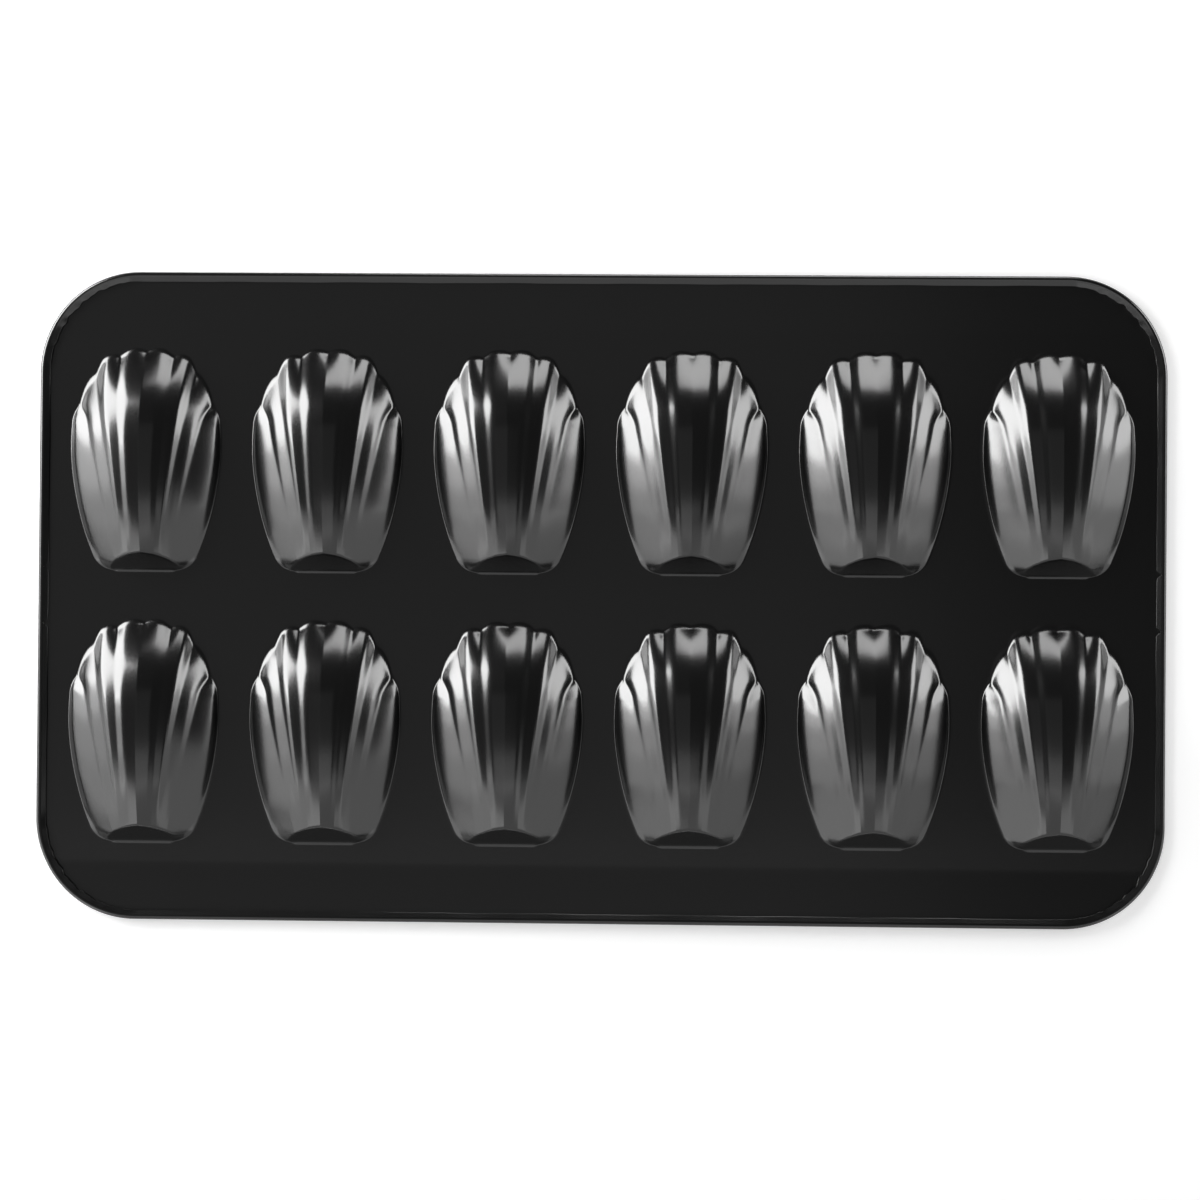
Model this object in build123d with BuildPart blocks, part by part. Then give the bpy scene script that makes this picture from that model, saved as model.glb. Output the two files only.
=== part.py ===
from build123d import *
import os
from math import cos, hypot, radians, sin, tan

# A madeleine pan for twelve cakes, in millimetres: one pressed steel sheet, hemmed round two rim wires.
# It lies as photographed, shells up: the cooking face rests on z = 0, and X runs along the long sides.

# Pan outline and sheet
pan_length = 390.0
pan_width = 224.5
corner_radius = 35.0
sheet_thickness = 0.6

# Hem, folded round its wires and tucked down on the sheet
wire_diameter = 1.0
wire_sides = 12
wire_clearance = 0.05
wire_end_gap = 1.0
fold_turns = [0.0, 45.0, 90.0, 135.0, 180.0, 210.0]
tuck_length = 1.9

# Crimp notches in the hem, a pair in the middle of each short side
notch_spacing = 19.5
notch_width = 2.6
notch_depth = 1.5

# Layout of the shells
columns = 6
rows = 2
column_pitch = 63.2
row_pitch = 94.0

# One shell, from its hinge edge (y = 0) to its scalloped end, measured on the underside
shell_length = 76.4
shell_half_width = 26.3
shell_widest_at = 41.0
shell_depth = 15.0
side_wall_angle = 61.0
hinge_half_width = 13.5
hinge_crest = 7.8
hinge_facet_angle = 58.0
outline_power = 2.2
across_power = 2.5
along_power = 2.3

# Grooves between the flutes, from the middle outwards: places at the hinge and at the scalloped edge
groove_foot_at = 4.0
groove_foot_shares = [0.0, 0.165, 0.300, 0.395]
groove_tip_x_shares = [0.0, 0.357, 0.654, 0.871]
groove_tip_y_shares = [1.0, 0.969, 0.893, 0.746]
groove_bow_powers = [1.0, 0.75, 0.9, 1.5]
groove_dip_power = 4
flute_height_shares = [0.09, 0.09, 0.07, 0.07]
lobe_height_shares = [0.15, 0.15, 0.14, 0.11]
flute_point_shares = [[1 / 3, 2 / 3], [1 / 3, 2 / 3], [1 / 2], [1 / 3, 2 / 3]]

# Sections of the shell, like the pages of a book: the first lies in the hinge facet, the last on the deck
page_foot_shares = [0.0, 0.053, 0.191, 0.339, 0.471, 0.56, 0.635, 0.665]
page_angle_shares = [1.0, 0.967, 1.025, 0.985, 0.749, 0.358, 0.164, 0.0]
slope_step = 0.05
halvings = 40

# How far cutting bodies run past what they cut
overrun = 1.0

# The hem's radii follow the wire that it is folded round
wire_radius = wire_diameter / 2
hem_inner_radius = wire_radius + wire_clearance
hem_outer_radius = hem_inner_radius + sheet_thickness
rim_height = 2 * hem_outer_radius
half_length = pan_length / 2
half_width = pan_width / 2


def edge_half_width(y):
    """Half the shell's width at the deck."""
    if y >= shell_widest_at:
        along = (y - shell_widest_at) / (shell_length - shell_widest_at)
        return shell_half_width * (1 - along**outline_power) ** (1 / outline_power)
    back = ((shell_widest_at - y) / shell_widest_at) ** outline_power
    narrowing = 1 - (hinge_half_width / shell_half_width) ** outline_power
    return shell_half_width * (1 - narrowing * back) ** (1 / outline_power)


def bowl_height(x, y):
    """Height of the smooth bowl under the flutes, above the deck's upper face."""
    if y >= shell_widest_at:
        along = (y - shell_widest_at) / (shell_length - shell_widest_at)
        return shell_depth * (1 - along**along_power - (x / shell_half_width) ** across_power)
    back = ((shell_widest_at - y) / shell_widest_at) ** outline_power
    crest = shell_depth - (shell_depth - hinge_crest) * back
    return crest * (1 - (x / edge_half_width(y)) ** across_power)


def groove_x(i, y):
    """Distance of groove i from the shell's middle line."""
    foot = groove_foot_shares[i] * shell_half_width
    tip = groove_tip_x_shares[i] * shell_half_width
    run = groove_tip_y_shares[i] * shell_length - groove_foot_at
    along = max(y - groove_foot_at, 0) / run
    return foot + (tip - foot) * along ** groove_bow_powers[i]


def groove_height(i, y, inset):
    """Height of groove i, nought at its tip, on the surface moved inwards by inset."""
    x = groove_x(i, y)
    height = bowl_height(x, y)
    across = (bowl_height(x + slope_step, y) - height) / slope_step
    along = (bowl_height(x, y + slope_step) - height) / slope_step
    tip_y = groove_tip_y_shares[i] * shell_length
    dip = bowl_height(groove_x(i, tip_y), tip_y) * (y / tip_y) ** groove_dip_power
    return height - dip - inset * hypot(1, across, along)


def page_points(foot, angle_share, inset):
    """The points of the fluted section on one page, left to right, as x and the distance up the page."""
    angle = angle_share * hinge_facet_angle
    right = []
    for i in range(len(groove_foot_shares)):
        # halve the stretch of the groove that holds the page
        near, far = foot, groove_tip_y_shares[i] * shell_length
        for _ in range(halvings):
            middle = (near + far) / 2
            if groove_height(i, middle, inset) + inset > (middle - foot) * tan(radians(angle)):
                near = middle
            else:
                far = middle
        right.append(Vector(groove_x(i, near), (near - foot) / cos(radians(angle))))
    right.append(Vector(edge_half_width(foot) - inset * tan(radians(side_wall_angle / 2)), 0))
    points = [right[0]]
    for i in range(len(flute_point_shares)):
        chord = right[i + 1] - right[i]
        change = flute_height_shares[i] - lobe_height_shares[i]
        height_share = lobe_height_shares[i] + change * angle_share
        lift = Vector(-chord.Y, chord.X) * height_share
        for share in flute_point_shares[i]:
            points.append(right[i] + chord * share + lift * (4 * share * (1 - share)))
        points.append(right[i + 1])
    return [Vector(-point.X, point.Y) for point in reversed(points[1:])] + points


def shell_form(inset):
    """The body under one shell's surface, moved inwards by inset and closed at that depth in the deck."""
    with BuildPart() as form:
        for foot_share, angle_share in zip(page_foot_shares, page_angle_shares):
            angle = angle_share * hinge_facet_angle
            foot = foot_share * shell_length
            if foot_share == 0:
                foot = inset * tan(radians(hinge_facet_angle / 2))
            page = Plane(
                origin=(0, foot, -inset),
                x_dir=(1, 0, 0),
                z_dir=(0, -sin(radians(angle)), cos(radians(angle))),
            )
            with BuildSketch(page):
                with BuildLine():
                    Polyline(*page_points(foot, angle_share, inset), close=True)
                make_face()
        loft(ruled=True)
    return form.part


def hem_section(outline):
    """The hem's section beside an outline at this distance: folded round the wire and tucked down."""
    centre = Vector(outline - hem_outer_radius, hem_outer_radius)
    sides = []
    for radius in (hem_outer_radius, hem_inner_radius):
        # each flat between two folds is tangent to the wire's circle
        points = [centre + Vector(0, -radius)]
        for before, after in zip(fold_turns, fold_turns[1:]):
            corner = Vector(0, -radius / cos(radians((after - before) / 2)))
            points.append(centre + corner.rotate(Axis.Z, (before + after) / 2))
        points.append(centre + Vector(tuck_length, -radius).rotate(Axis.Z, fold_turns[-1]))
        sides.append(points)
    with BuildSketch() as section:
        with BuildLine():
            Polyline(*sides[0], *reversed(sides[1]), close=True)
        make_face()
    return section.sketch


def wire_section(outline):
    """The rim wire's section beside an outline at this distance."""
    with BuildSketch() as section:
        with Locations((outline - hem_outer_radius, hem_outer_radius)):
            RegularPolygon(wire_radius, wire_sides)
    return section.sketch


def quarter_rim(section, short_side_start):
    """Runs a section round one quarter of the rim, from the short side's middle to the long side's."""
    short_end = half_width - corner_radius
    with BuildPart() as quarter:
        with BuildSketch(Plane.XZ.offset(-short_side_start)):
            add(section(half_length))
        extrude(amount=short_side_start - short_end)
        with BuildSketch(Plane.XZ.offset(-short_end)):
            add(section(half_length))
        corner = Axis((half_length - corner_radius, short_end, 0), (0, 0, 1))
        revolve(axis=corner, revolution_arc=90)
        with BuildSketch(Plane.YZ):
            add(section(half_width))
        extrude(amount=half_length - corner_radius)
    return quarter.part


os.makedirs("parts", exist_ok=True)

# Quarter of the sheet with its hem
with BuildPart() as sheet_quarter:
    add(quarter_rim(hem_section, 0))
    with BuildSketch():
        RectangleRounded(
            pan_length - 2 * hem_outer_radius,
            pan_width - 2 * hem_outer_radius,
            corner_radius - hem_outer_radius,
        )
    extrude(amount=sheet_thickness)
    split(bisect_by=Plane.XZ, keep=Keep.BOTTOM)
    split(bisect_by=Plane.YZ, keep=Keep.TOP)
    # crimp notch in the tucked edge
    tuck_tip = Vector(tuck_length, -hem_outer_radius).rotate(Axis.Z, fold_turns[-1])
    tuck_edge = half_length - hem_outer_radius + tuck_tip.X
    with BuildSketch(Plane.XY.offset(sheet_thickness + wire_clearance)):
        with BuildLine():
            Polyline(
                (tuck_edge - overrun, notch_spacing / 2 - notch_width / 2),
                (tuck_edge + notch_depth, notch_spacing / 2),
                (tuck_edge - overrun, notch_spacing / 2 + notch_width / 2),
                close=True,
            )
        make_face()
    extrude(amount=rim_height, mode=Mode.SUBTRACT)

# One shell's outer form, standing on the deck, and its inner form, open to the cooking face
outer_form = shell_form(0)
inner_form = shell_form(sheet_thickness)

shell_places = [
    (
        (column - (columns - 1) / 2) * column_pitch,
        (row - (rows - 1) / 2) * row_pitch - shell_length / 2,
        sheet_thickness,
    )
    for row in range(rows)
    for column in range(columns)
]

with BuildPart() as pan_sheet:
    add(sheet_quarter.part)
    mirror(about=Plane.XZ)
    mirror(about=Plane.YZ)
    with Locations(shell_places):
        add(outer_form)
    with Locations(shell_places):
        add(inner_form, mode=Mode.SUBTRACT)

with BuildPart() as rim_wire_back:
    add(quarter_rim(wire_section, wire_end_gap / 2))
    mirror(about=Plane.YZ)

with BuildPart() as rim_wire_front:
    add(rim_wire_back.part)
    mirror(about=Plane.XZ, mode=Mode.REPLACE)

pan_sheet.part.label = "pan_sheet"
rim_wire_back.part.label = "rim_wire_back"
rim_wire_front.part.label = "rim_wire_front"
for piece in (pan_sheet, rim_wire_back, rim_wire_front):
    export_step(piece.part, f"parts/{piece.part.label}.step")
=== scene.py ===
from math import cos, pi, radians, sin, tan

import bpy
import numpy as np
from mathutils import Euler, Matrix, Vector, geometry


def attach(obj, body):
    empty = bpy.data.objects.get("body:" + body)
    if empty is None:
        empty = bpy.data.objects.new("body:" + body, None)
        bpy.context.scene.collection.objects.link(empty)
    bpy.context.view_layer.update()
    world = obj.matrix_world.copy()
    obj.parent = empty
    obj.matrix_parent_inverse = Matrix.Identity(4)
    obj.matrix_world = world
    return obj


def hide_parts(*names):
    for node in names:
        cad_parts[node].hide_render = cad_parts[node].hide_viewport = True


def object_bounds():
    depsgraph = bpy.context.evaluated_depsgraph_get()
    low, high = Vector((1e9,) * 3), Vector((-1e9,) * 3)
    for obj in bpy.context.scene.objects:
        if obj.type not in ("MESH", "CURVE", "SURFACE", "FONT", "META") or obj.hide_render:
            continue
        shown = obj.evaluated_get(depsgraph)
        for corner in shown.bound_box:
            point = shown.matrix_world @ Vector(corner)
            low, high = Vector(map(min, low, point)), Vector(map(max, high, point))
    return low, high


# A madeleine pan for twelve cakes, lying with its shells up. Lengths are in metres, written as millimetres.

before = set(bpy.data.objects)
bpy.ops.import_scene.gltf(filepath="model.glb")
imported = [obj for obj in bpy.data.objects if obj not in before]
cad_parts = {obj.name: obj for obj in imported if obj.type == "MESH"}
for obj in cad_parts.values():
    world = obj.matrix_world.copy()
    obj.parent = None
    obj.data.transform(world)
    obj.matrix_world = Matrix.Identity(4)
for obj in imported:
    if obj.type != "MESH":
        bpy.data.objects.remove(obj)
cad_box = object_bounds()

mm = 0.001

# Sheet, its outline and its margins
half_length = cad_box[1][0]
half_width = cad_box[1][1]
corner_radius = 35 * mm
sheet_thickness = 0.6 * mm
bend_from_edge = 19.4 * mm
bend_slope = tan(radians(3))
bend_softness = 1.2 * mm

# Rolled hem and its wire, with turns in degrees
wire_radius = 0.5 * mm
wire_sides = 12
hem_radius = 1.15 * mm
tuck_turn = 210
tuck_length = 1.9 * mm
fold_turn = 15
tuck_steps = [0.1, 0.4, 0.7, 0.92, 1]

# Notches in the tucked edge, a pair in the middle of each short side
crimp_spacing = 19.5 * mm
crimp_half_width = 1.6 * mm
crimp_depth = 1.85 * mm

# Unevenness of the tucked edge, puckered in the corners and wavy all round. Each wave has its length over
# 2 pi, its share of the height and its start. The edge waves are lifted by the sum of their shares.
pucker = 0.28 * mm
pucker_lift = 0.5 * pucker
pucker_waves = [(1.1 * mm, 1, 0), (0.62 * mm, 0.7, 1.3), (2.3 * mm, 0.5, 0)]
edge_wave = 0.07 * mm
edge_lift = 0.3 * edge_wave
edge_waves = [(7.3 * mm, 1, 0), (3.1 * mm, 0.6, 2)]
edge_waves_reach = sum(share for length, share, start in edge_waves)
corner_lift = 0.5 * mm
corner_lift_onset = 4

# Places along the rim where the hem has its sections
crimp_steps = [-1.3, -1, -0.75, -0.5, -0.25, 0, 0.25, 0.5, 0.75, 1, 1.3]
middle_steps = np.array([-6, -4, -2, -0.5, 0.5, 2, 4, 6]) * mm
plain_steps = np.arange(14, 76, 2) * mm
long_side_sections = 161
corner_steps = 64

# Layout of the shells
columns = 6
rows = 2
column_pitch = 63.2 * mm
row_pitch = 94 * mm
shell_length = 76.4 * mm

# One shell, from its hinge edge (y = 0) to its scalloped end
half_span = 25.9 * mm
widest_at = 42 * mm
depth = 14.6 * mm
hinge_crest = 7.8 * mm
facet_slope = tan(radians(58))
side_narrowing = 0.655
side_power = 1.65
front_power = 2.5
front_limit = 0.75
crest_power = 2.2
across_power = 1.68
along_power = 2.3

# Rounded corners at both ends of the hinge
corner_reach = 9 * mm
corner_x = 9.7 * mm
corner_end = 4.9 * mm

# Lines of the shell, from the middle groove outwards: where they start and end, and how they bow
line_foot_x = np.array([0, 4.33, 7, 9.4]) * mm
line_foot_y = 4 * mm
line_tip_x = np.array([0, 9.4, 17.2, 22.9]) * mm
line_tip_y = np.array([75.5, 73.7, 68, 57.2]) * mm
line_bow = [1, 1, 1.1, 0.93]
line_end_bend = 4 * mm
tip_fall_power = 4
outer_line_flare = 1.9 * mm
outer_line_flare_from = 50.5 * mm
flare_power = 2
outer_line_end_slope = 0.3
edge_bend_from = 50 * mm
edge_bend = 2.4 * mm
edge_bend_power = 2.2
edge_tip_y = 57 * mm
edge_end_slope = 0.6
edge_fall = 0.8

# Rounding of the flutes at the scalloped end, over the chord between their lines
lobe_shares = [0.1, 0.15, 0.24]
lobe_from = 48 * mm
lobe_powers = [6, 3, 3]

# Slope across each flute, from its inner line to its outer one, as shares of its mean slope
flute_width_shares = [[0, 0.6, 0.75, 1], [0, 0.55, 0.75, 1], [0, 0.5, 0.8, 1], [0, 0.24, 0.5, 0.78, 0.92, 1]]
flute_slope_shares = [
    [0.5, 0.6, 1.65, 1.75],
    [0.42, 0.5, 1.7, 1.75],
    [0.8, 0.85, 1.25, 1.3],
    [0.74, 0.75, 0.82, 0.95, 1.6, 2.6],
]

# Near the hinge the slope across a flute is even, and from there it grows into its full shape
even_fall_until = 4 * mm
full_fall_from = 22 * mm

# Rounding of the grooves, of the ridge above the hinge and of the foot on the deck
groove_softness = 0.6 * mm
ridge_softness = 0.8 * mm
base_softness = 1 * mm
wall_slope = 1.7

# Grid of a shell's points: shares of its flutes' widths, steps beyond its side, and stretches of rows in
# millimetres with how many rows each has
flute_steps = [0, 0.04, 0.09, 0.16, 0.27, 0.39, 0.5, 0.61, 0.71, 0.79, 0.86, 0.92, 0.96]
outer_flute_steps = [
    0, 0.03, 0.07, 0.12, 0.18, 0.24, 0.29, 0.34, 0.4, 0.46, 0.53, 0.6, 0.68, 0.77, 0.85, 0.92, 0.96, 1,
]
skirt_steps = np.array([0.15, 0.35, 0.7, 1.3, 2.4]) * mm
row_stretches = [(-2.4, 8, 30), (8, 50, 26), (50, 60, 24), (60, 79.4, 38)]

# Steps over which falls are summed and slopes are measured
fall_steps = np.linspace(0, 1, 101)
slope_step = 0.05 * mm
near_share = 0.002

# Points spread over the deck
deck_spacing = 5 * mm
deck_rows = np.arange(-86, 86, 5) * mm
bend_steps = [-1, -0.5, 0, 0.5, 1]
margin_steps = np.array([5, 9.5, 14]) * mm
rim_gap = 3 * mm
corner_gap = 2 * mm
shell_side_gap = 3.6 * mm
shell_end_gap = 1 * mm
merge_distance = 1e-7

# Black coat with a fine grain, drawn steel wire, and the floor
coat_colour = (0.003, 0.003, 0.003, 1)
coat_roughness = 0.19
coat_ior = 1.85
grain_scale = 900
grain_detail = 2
grain_strength = 0.04
grain_height = 0.2 * mm
steel_colour = (0.5, 0.5, 0.49, 1)
steel_grain_scale = 700
steel_roughness = (0.25, 0.4)
floor_reach = 6.0
floor_colour = (0.9, 0.9, 0.9, 1)
floor_roughness = 0.9
floor_lift = 0.3

# Soft panels round the pan: azimuths and elevations in degrees, distance in metres, radiance
panel_level = 0.62
panels = [
    ("left_panel", (132, 171), (1, 36), 0.9, 16),
    ("left_fade_1", (171, 182), (1, 36), 0.9, 5.6),
    ("left_fade_2", (182, 192), (1, 37), 0.9, 3.2),
    ("left_fade_3", (192, 205), (1, 38), 0.9, 2.6),
    ("right_panel", (9, 38), (1, 27), 0.9, 8.5),
    ("right_fade_1", (-4, 9), (1, 28), 0.9, 3.4),
    ("right_fade_2", (-16, -4), (1, 30), 0.9, 1.8),
    ("back_panel", (70, 99), (2, 26), 0.95, 6.5),
    ("front_left_panel", (205, 235), (1, 50), 1.5, 2.2),
    ("front_panel", (235, 310), (1, 68), 1.6, 0.8),
    ("front_right_panel", (310, 344), (1, 50), 1.5, 1.2),
]

# Panels that hang level over the pan: place and size in metres, radiance
overhead_panels = [
    ("overhead_wide", (-0.32, -0.05, 1.8), (1.2, 1.6), 0.085),
    ("overhead_front", (-0.1, -0.58, 1.7), (1.3, 0.5), 0.5),
]
world_strength = 0.04

# Camera, almost straight above the pan, with its turns in degrees
camera_place = (28.76 * mm, -10 * mm, 1.0006)
camera_turn = (0.565, 1.628, 0.482)
camera_lens = 86.76
camera_sensor = 36


def fall_across(widths, slopes):
    """Shares of a flute's fall from its inner line to its outer one, at the fall steps."""
    slope = np.interp(fall_steps, widths, slopes)
    fall = np.concatenate([[0], np.cumsum(slope[1:] + slope[:-1])])
    return fall / fall[-1]


flute_falls = [fall_across(widths, slopes) for widths, slopes in zip(flute_width_shares, flute_slope_shares)]


def edge_half_width(y):
    """Half the width of the shell's smooth outline at y."""
    back = np.clip((widest_at - y) / widest_at, 0, 1) ** side_power
    front = np.clip((y - widest_at) / (shell_length - widest_at), 0, front_limit) ** front_power
    back_share = np.sqrt(1 - side_narrowing * back)
    front_share = (1 - front) ** (1 / front_power)
    side = half_span * np.where(y < widest_at, back_share, front_share)
    corner = corner_x + np.sqrt(corner_reach**2 - (corner_reach - np.clip(y, 0, corner_end)) ** 2)
    return np.where(y < corner_end, np.minimum(side, corner), side)


def drift_past(y, end, end_slope):
    """How far a line still drifts outwards past its end, before it runs straight on."""
    past = np.clip(y - end, 0, None)
    return end_slope * line_end_bend * (1 - np.exp(-past / line_end_bend))


def line_x(i, y):
    """Distance of line i from the shell's middle. Line 4 is the side edge."""
    if i == 4:
        bend = np.clip((y - edge_bend_from) / (edge_tip_y - edge_bend_from), 0, 1)
        side = edge_half_width(np.clip(y, 0, edge_bend_from))
        return side - edge_bend * bend**edge_bend_power + drift_past(y, edge_tip_y, edge_end_slope)
    run = line_tip_y[i] - line_foot_y
    along = np.clip((y - line_foot_y) / run, 0, 1)
    reach = line_tip_x[i] - line_foot_x[i]
    flare = 0
    end_slope = reach * line_bow[i] / run
    if i == 3:
        # the outermost groove turns outwards near its end
        reach = reach - outer_line_flare
        flare_run = line_tip_y[i] - outer_line_flare_from
        flare = outer_line_flare * np.clip((y - outer_line_flare_from) / flare_run, 0, 1) ** flare_power
        end_slope = outer_line_end_slope
    line = line_foot_x[i] + reach * along ** line_bow[i] + flare
    return line + drift_past(y, line_tip_y[i], end_slope)


def bowl_height(x, y):
    """Height of the smooth bowl under the flutes. It is negative outside the bowl."""
    along = np.clip((y - widest_at) / (shell_length - widest_at), 0, None) ** along_power
    back = np.clip((widest_at - y) / widest_at, 0, None) ** crest_power
    crest = depth - (depth - hinge_crest) * back
    span = np.where(y < widest_at, edge_half_width(y), half_span)
    return crest * (1 - along - (np.abs(x) / span) ** across_power)


def line_height(i, y):
    """Height of line i above the deck, nought at its tip."""
    if i == 4:
        return -np.clip(y - edge_tip_y, 0, None) * edge_fall
    tip = bowl_height(line_tip_x[i], line_tip_y[i])
    along = np.clip(y / line_tip_y[i], 0, None)
    return bowl_height(line_x(i, y), y) - tip * along**tip_fall_power


def flute_height(i, t, y):
    """Height of the flute between lines i and i + 1, at the share t of its width."""
    inner, outer = line_height(i, y), line_height(i + 1, y)
    chord_x, chord_z = line_x(i + 1, y) - line_x(i, y), outer - inner
    fall = np.interp(t, fall_steps, flute_falls[i])
    full = np.clip((y - even_fall_until) / (full_fall_from - even_fall_until), 0, 1)
    surface = inner + chord_z * (t + (fall - t) * full)
    if i == 3:
        return surface
    ahead = line_height(i, y + slope_step) * (1 - t) + line_height(i + 1, y + slope_step) * t
    behind = line_height(i, y - slope_step) * (1 - t) + line_height(i + 1, y - slope_step) * t
    across = chord_z / chord_x
    along = (ahead - behind) / (2 * slope_step)
    lean = np.sqrt(1 + across**2 + along**2)
    lobe = lobe_shares[i] * np.clip((y - lobe_from) / (shell_length - lobe_from), 0, 1) ** lobe_powers[i]
    return surface + chord_x * lean * lobe * 4 * t * (1 - t)


def groove_turn(i, y):
    """How much the slope turns at line i, from the flute before it to the flute after it."""
    after_run = near_share * (line_x(i + 1, y) - line_x(i, y))
    after = (flute_height(i, near_share, y) - line_height(i, y)) / after_run
    if i == 0:
        return 2 * after
    before_run = near_share * (line_x(i, y) - line_x(i - 1, y))
    before = line_height(i, y) - flute_height(i - 1, 1 - near_share, y)
    return after - before / before_run


def groove_fill(distance, turn):
    """Rounds the bottom of a groove."""
    near = np.clip(groove_softness - distance, 0, None)
    return np.clip(turn, 0, None) * near**2 / (4 * groove_softness)


def smooth_min(a, b, softness):
    """The lower of two heights, with a rounded ridge where they cross."""
    mix = np.clip(0.5 + 0.5 * (b - a) / softness, 0, 1)
    return b * (1 - mix) + a * mix - softness * mix * (1 - mix)


def rounded_ramp(distance, softness):
    """Nought before the start of a ramp and the distance past it, with a rounded bend between."""
    bend = (distance + softness) ** 2 / (4 * softness)
    return np.where(distance > softness, distance, np.where(distance < -softness, 0, bend))


def shell_grid():
    """Points of one shell's outer face: x and y from its hinge's middle, z from the deck."""
    stretches = [np.linspace(*stretch) for stretch in row_stretches]
    ys = np.concatenate([stretches[0], *(stretch[1:] for stretch in stretches[1:])]) * mm
    turns = [groove_turn(i, ys) for i in range(4)]
    half_x, half_z = [], []
    for i in range(4):
        start, end = line_x(i, ys), line_x(i + 1, ys)
        for t in outer_flute_steps if i == 3 else flute_steps:
            x = start * (1 - t) + end * t
            z = flute_height(i, t, ys) + groove_fill(x - start, turns[i])
            if i < 3:
                z = z + groove_fill(end - x, turns[i + 1])
            half_x.append(x)
            half_z.append(z)
    for reach in skirt_steps:
        half_x.append(line_x(4, ys) + reach)
        half_z.append(line_height(4, ys) - reach * wall_slope)
    half_x, half_z = np.array(half_x), np.array(half_z)
    half_z = smooth_min(half_z, ys * facet_slope, ridge_softness)
    half_z = rounded_ramp(half_z, base_softness)
    x = np.concatenate([-half_x[:0:-1], half_x])
    z = np.concatenate([half_z[:0:-1], half_z])
    return x, np.broadcast_to(ys, x.shape), z


shell_places = [
    ((column - (columns - 1) / 2) * column_pitch, (row - (rows - 1) / 2) * row_pitch - shell_length / 2)
    for row in range(rows)
    for column in range(columns)
]


def all_shells():
    """Points and quads of the twelve shells, and each shell's border as a loop of point numbers."""
    x, y, z = shell_grid()
    blocks, quads, borders = [], [], []
    for k, (middle_x, hinge_y) in enumerate(shell_places):
        blocks.append(np.stack([x + middle_x, y + hinge_y, z + sheet_thickness], axis=-1).reshape(-1, 3))
        ids = np.arange(x.size).reshape(x.shape) + k * x.size
        corners = [ids[:-1, :-1], ids[1:, :-1], ids[1:, 1:], ids[:-1, 1:]]
        quads.append(np.stack(corners, axis=-1).reshape(-1, 4))
        borders.append(np.concatenate([ids[:, 0], ids[-1, 1:], ids[-2::-1, -1], ids[0, -2:0:-1]]).tolist())
    return np.concatenate(blocks), np.concatenate(quads).tolist(), borders


def rim_stations(inset):
    """Places of the hem's sections: points inset from the outline, their outward directions, and how far
    each is into a corner, from nought on the straight sides to one in the middle of a corner."""
    radius = corner_radius - inset
    straight_x = half_length - corner_radius
    straight_y = half_width - corner_radius
    crimps = [place * crimp_spacing / 2 + crimp_half_width * s for place in (-1, 1) for s in crimp_steps]
    side_y = sorted([-straight_y, *-plain_steps, *crimps, *middle_steps, *plain_steps, straight_y])
    side_x = np.linspace(-straight_x, straight_x, long_side_sections)
    points, directions, in_corner = [], [], []
    for quarter in range(4):
        turn = quarter * pi / 2
        sign = 1 if quarter < 2 else -1
        for v in side_y if quarter % 2 == 0 else side_x:
            if quarter % 2 == 0:
                points.append((sign * (half_length - inset), sign * v))
            else:
                points.append((-sign * v, sign * (half_width - inset)))
            directions.append((cos(turn), sin(turn)))
            in_corner.append(0)
        middle_x = straight_x if quarter in (0, 3) else -straight_x
        middle_y = straight_y if quarter < 2 else -straight_y
        for k in range(1, corner_steps):
            angle = turn + pi / 2 * k / corner_steps
            points.append((middle_x + cos(angle) * radius, middle_y + sin(angle) * radius))
            directions.append((cos(angle), sin(angle)))
            in_corner.append(sin(pi * k / corner_steps))
    return np.array(points), np.array(directions), np.array(in_corner)


stations, outward, corner_share = rim_stations(hem_radius)


def bend_rise(y):
    """How far the margins rise beyond the two bend lines."""
    return bend_slope * rounded_ramp(np.abs(y) - (half_width - bend_from_edge), bend_softness)


def waves(walk, table):
    """Sum of the table's waves at each distance walked round the rim."""
    return sum(share * np.sin(walk / length + start) for length, share, start in table)


def hem_rows(radius, tuck, lift):
    """One side of the hem's skin at every station: distances from the outline, and heights."""
    turns = np.radians(np.arange(0, tuck_turn + 1, fold_turn))[:, None]
    fold_d = hem_radius - radius * np.sin(turns) + 0 * tuck
    fold_z = hem_radius - radius * np.cos(turns) + 0 * tuck
    shares = np.array(tuck_steps)[:, None]
    flat_d = fold_d[-1] - cos(radians(tuck_turn)) * tuck * shares
    flat_z = fold_z[-1] + sin(radians(tuck_turn)) * tuck * shares + lift * shares
    return np.concatenate([fold_d, flat_d]), np.concatenate([fold_z, flat_z])


def hem_rings():
    """Rings of points round the hem: up its inner face to the tucked edge, and back down its outer face."""
    walk = np.concatenate([[0], np.cumsum(np.hypot(*np.diff(stations, axis=0).T))])
    notch = np.clip(1 - np.abs(np.abs(stations[:, 1]) - crimp_spacing / 2) / crimp_half_width, 0, 1)
    notch = notch * (np.abs(outward[:, 0]) == 1)
    ripple, wave = waves(walk, pucker_waves), waves(walk, edge_waves)
    tuck = tuck_length - crimp_depth * notch + pucker * corner_share * ripple + edge_wave * wave
    lift = pucker_lift * corner_share * ripple + corner_lift * np.clip(corner_lift_onset * corner_share, 0, 1)
    lift = lift + edge_lift * (wave + edge_waves_reach)
    outer_d, outer_z = hem_rows(hem_radius, tuck, lift)
    inner_d, inner_z = hem_rows(hem_radius - sheet_thickness, tuck, lift)
    rings = []
    for d, z in zip([*inner_d[1:], *outer_d[:0:-1]], [*inner_z[1:], *outer_z[:0:-1]]):
        plan = stations + outward * (hem_radius - d)[:, None]
        rings.append(np.column_stack([plan, z + bend_rise(plan[:, 1])]))
    return rings


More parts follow.
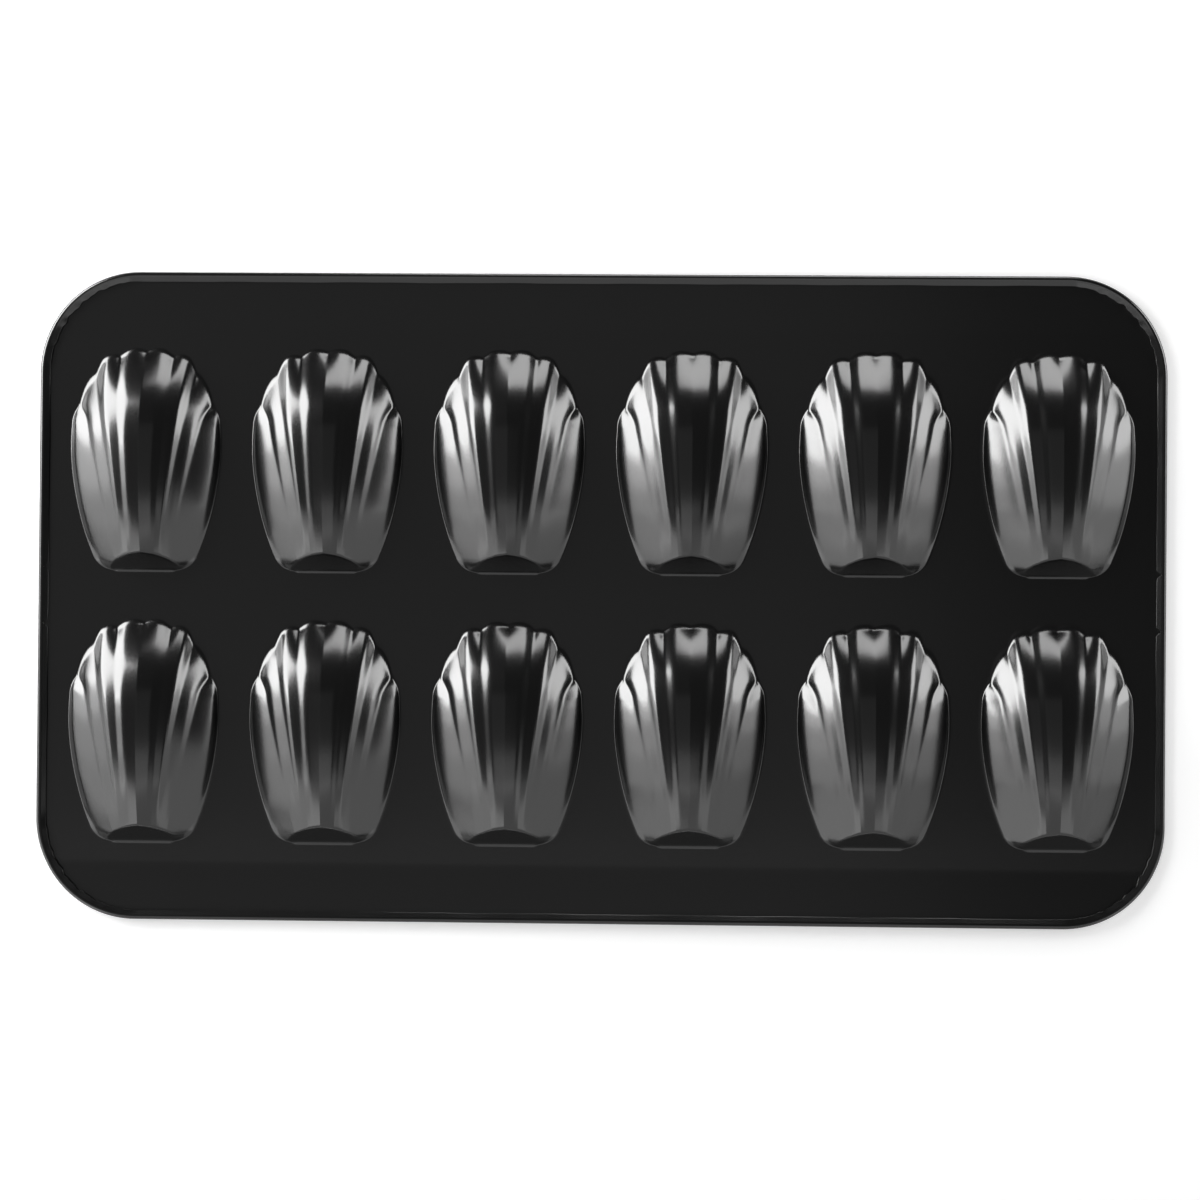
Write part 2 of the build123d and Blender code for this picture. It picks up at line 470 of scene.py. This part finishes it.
def deck_points():
    """Points spread over the deck, clear of the rim and of the shells."""
    inner_x = half_length - hem_radius
    bend_line = half_width - bend_from_edge
    ys = [side * (bend_line + bend_softness * k) for side in (-1, 1) for k in bend_steps]
    ys += [side * (bend_line + step) for side in (-1, 1) for step in margin_steps]
    ys += deck_rows.tolist()
    xs = np.arange(-inner_x + rim_gap, inner_x - rim_gap, deck_spacing)
    points = np.array([(x, y) for y in ys for x in xs])
    past_x = np.clip(np.abs(points[:, 0]) - (half_length - corner_radius), 0, None)
    past_y = np.clip(np.abs(points[:, 1]) - (half_width - corner_radius), 0, None)
    keep = np.hypot(past_x, past_y) < corner_radius - hem_radius - corner_gap
    grid_start, grid_end = row_stretches[0][0] * mm, row_stretches[-1][1] * mm
    for middle_x, hinge_y in shell_places:
        x, y = np.abs(points[:, 0] - middle_x), points[:, 1] - hinge_y
        beside = x < line_x(4, y) + shell_side_gap
        keep &= ~(beside & (y > grid_start - shell_end_gap) & (y < grid_end + shell_end_gap))
    return points[keep]


def deck_triangles(points, borders, rim_loop, loose):
    """Triangles between the rim and the shells' borders, through the loose points."""
    used = [v for border in borders for v in border] + rim_loop + loose
    order = {v: k for k, v in enumerate(used)}
    plan = [Vector((points[v][0], points[v][1])) for v in used]
    loops = [[order[v] for v in loop] for loop in [rim_loop, *borders]]
    _, _, faces, sources, _, parents = geometry.delaunay_2d_cdt(plan, [], loops, 0, merge_distance)
    # only what lies inside the rim and in no shell
    deck = [face for face, parent in zip(faces, parents) if list(parent) == [0]]
    return [[used[sources[v][0]] for v in face] for face in deck]


def moved_inwards(points, faces):
    """Points of the sheet's outer face, moved by its thickness to the inner face."""
    surface = bpy.data.meshes.new("surface")
    surface.from_pydata(points.tolist(), [], faces)
    surface.update()
    normals = np.empty(3 * len(points), dtype=np.float32)
    surface.vertex_normals.foreach_get("vector", normals)
    bpy.data.meshes.remove(surface)
    return points - normals.reshape(-1, 3) * sheet_thickness


def new_object(name, points, faces):
    """A mesh object in the scene."""
    mesh = bpy.data.meshes.new(name)
    mesh.from_pydata(points.tolist(), [], faces)
    mesh.update()
    piece = bpy.data.objects.new(name, mesh)
    bpy.context.scene.collection.objects.link(piece)
    return piece


def pan_sheet():
    """The pressed sheet with its two faces and its hem."""
    shells, quads, borders = all_shells()
    deck = deck_points()
    plan = np.concatenate([stations, deck])
    flat = np.column_stack([plan, np.full(len(plan), sheet_thickness)])
    outer_face = np.concatenate([shells, flat])
    rim_loop = list(range(len(shells), len(shells) + len(stations)))
    loose = list(range(len(shells) + len(stations), len(outer_face)))
    faces = quads + deck_triangles(outer_face, borders, rim_loop, loose)
    outer_face[:, 2] += bend_rise(outer_face[:, 1])
    count = len(outer_face)
    inner_face = moved_inwards(outer_face, faces)
    rings = hem_rings()
    # the hem joins the rim of one face to the rim of the other, ring by ring
    chain = [rim_loop]
    for k in range(len(rings)):
        start = 2 * count + k * len(stations)
        chain.append(list(range(start, start + len(stations))))
    chain.append([v + count for v in rim_loop])
    hem = []
    for a, b in zip(chain, chain[1:]):
        hem += zip(a, b, b[1:] + b[:1], a[1:] + a[:1])
    back_faces = [[v + count for v in face[::-1]] for face in faces]
    points = np.concatenate([outer_face, inner_face, *rings])
    sheet = new_object("pan_sheet_formed", points, faces + back_faces + hem)
    for polygon in sheet.data.polygons:
        polygon.use_smooth = True
    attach(sheet, "root")
    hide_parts("pan_sheet")
    return sheet


def rim_wire(name, order):
    """Half of the rim's wire, lying in the hem along some of the stations."""
    centres = np.column_stack([stations[order], hem_radius + bend_rise(stations[order][:, 1])])
    out = np.column_stack([outward[order], np.zeros(len(order))])
    turns = np.radians(np.arange(wire_sides) * 360 / wire_sides)
    rounds = [centres + wire_radius * (out * cos(a) + np.array([0, 0, sin(a)])) for a in turns]
    points = np.stack(rounds, axis=1).reshape(-1, 3)
    end = len(points) - wire_sides
    faces = [list(range(wire_sides))[::-1], list(range(end, len(points)))]
    for start in range(0, end, wire_sides):
        for a in range(wire_sides):
            b = (a + 1) % wire_sides
            faces.append([start + a, start + b, start + wire_sides + b, start + wire_sides + a])
    wire = new_object(name + "_formed", points, faces)
    for polygon in wire.data.polygons:
        polygon.use_smooth = len(polygon.vertices) == 4
    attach(wire, "root")
    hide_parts(name)
    return wire


def new_material(name):
    """A material with its nodes, its links and its shader."""
    material = bpy.data.materials.new(name)
    material.use_nodes = True
    tree = material.node_tree
    return material, tree.nodes, tree.links, tree.nodes["Principled BSDF"]


def coating():
    """Black non-stick coat with a fine grain."""
    material, nodes, links, shader = new_material("nonstick_coating")
    shader.inputs["Base Color"].default_value = coat_colour
    shader.inputs["Roughness"].default_value = coat_roughness
    shader.inputs["IOR"].default_value = coat_ior
    place = nodes.new("ShaderNodeTexCoord")
    noise = nodes.new("ShaderNodeTexNoise")
    noise.inputs["Scale"].default_value = grain_scale
    noise.inputs["Detail"].default_value = grain_detail
    bump = nodes.new("ShaderNodeBump")
    bump.inputs["Strength"].default_value = grain_strength
    bump.inputs["Distance"].default_value = grain_height
    links.new(place.outputs["Object"], noise.inputs["Vector"])
    links.new(noise.outputs["Fac"], bump.inputs["Height"])
    links.new(bump.outputs["Normal"], shader.inputs["Normal"])
    return material


def steel():
    """Drawn steel wire."""
    material, nodes, links, shader = new_material("rim_wire")
    shader.inputs["Metallic"].default_value = 1
    shader.inputs["Base Color"].default_value = steel_colour
    noise = nodes.new("ShaderNodeTexNoise")
    noise.inputs["Scale"].default_value = steel_grain_scale
    ramp = nodes.new("ShaderNodeMapRange")
    ramp.inputs["To Min"].default_value = steel_roughness[0]
    ramp.inputs["To Max"].default_value = steel_roughness[1]
    links.new(noise.outputs["Fac"], ramp.inputs["Value"])
    links.new(ramp.outputs["Result"], shader.inputs["Roughness"])
    return material


def pale_floor():
    """Floor material that the camera sees white, and that keeps the pan's shadow."""
    material, nodes, links, shader = new_material("floor")
    shader.inputs["Base Color"].default_value = floor_colour
    shader.inputs["Roughness"].default_value = floor_roughness
    shader.inputs["Emission Color"].default_value = (1, 1, 1, 1)
    path = nodes.new("ShaderNodeLightPath")
    lift = nodes.new("ShaderNodeMath")
    lift.operation = "MULTIPLY"
    lift.inputs[1].default_value = floor_lift
    links.new(path.outputs["Is Camera Ray"], lift.inputs[0])
    links.new(lift.outputs["Value"], shader.inputs["Emission Strength"])
    return material


def floor():
    """The surface that the pan lies on."""
    sides = [(-1, -1), (1, -1), (1, 1), (-1, 1)]
    corners = np.array([(x * floor_reach, y * floor_reach, 0) for x, y in sides])
    obj = new_object("floor", corners, [(0, 1, 2, 3)])
    obj.data.materials.append(pale_floor())


def soft_panel(name, size, radiance):
    """An evenly bright rectangle that gives light."""
    data = bpy.data.lights.new(name, "AREA")
    data.shape = "RECTANGLE"
    data.size, data.size_y = size
    data.energy = radiance * pi * data.size * data.size_y
    lamp = bpy.data.objects.new(name, data)
    bpy.context.scene.collection.objects.link(lamp)
    return lamp


def standing_panel(name, azimuths, elevations, distance, radiance):
    """A panel that faces the pan, between two azimuths and two elevations seen from the pan's middle."""
    azimuth = radians(sum(azimuths) / 2)
    elevation = radians(sum(elevations) / 2)
    size = [2 * distance * tan(radians(last - first) / 2) for first, last in (azimuths, elevations)]
    lamp = soft_panel(name, size, radiance)
    towards = Vector((cos(azimuth) * cos(elevation), sin(azimuth) * cos(elevation), sin(elevation)))
    lamp.location = towards * distance
    lamp.rotation_euler = towards.to_track_quat("Z", "Y").to_euler()


def camera():
    """The photograph's view."""
    data = bpy.data.cameras.new("camera")
    data.sensor_width = camera_sensor
    data.lens = camera_lens
    view = bpy.data.objects.new("camera", data)
    view.location = camera_place
    view.rotation_euler = Euler([radians(turn) for turn in camera_turn], "XYZ")
    bpy.context.scene.collection.objects.link(view)
    bpy.context.scene.camera = view


# The pan
sheet = pan_sheet()
behind = np.flatnonzero(stations[:, 1] > 0)
ahead = np.concatenate([np.arange(behind[-1] + 1, len(stations)), np.arange(behind[0])])
wires = [rim_wire("rim_wire_back", behind), rim_wire("rim_wire_front", ahead)]

black = coating()
wire_steel = steel()
sheet.data.materials.append(black)
for wire in wires:
    wire.data.materials.append(wire_steel)
for name, material in (("pan_sheet", black), ("rim_wire_back", wire_steel), ("rim_wire_front", wire_steel)):
    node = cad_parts[name]
    node.data.materials.clear()
    node.data.materials.append(material)

# Floor and light
floor()
for name, azimuths, elevations, distance, radiance in panels:
    standing_panel(name, azimuths, elevations, distance, radiance * panel_level)
for name, place, size, radiance in overhead_panels:
    soft_panel(name, size, radiance).location = place

world = bpy.data.worlds.new("surroundings")
bpy.context.scene.world = world
world.use_nodes = True
background = world.node_tree.nodes["Background"]
background.inputs["Color"].default_value = (1, 1, 1, 1)
background.inputs["Strength"].default_value = world_strength

camera()
bpy.context.scene.view_settings.view_transform = "Standard"
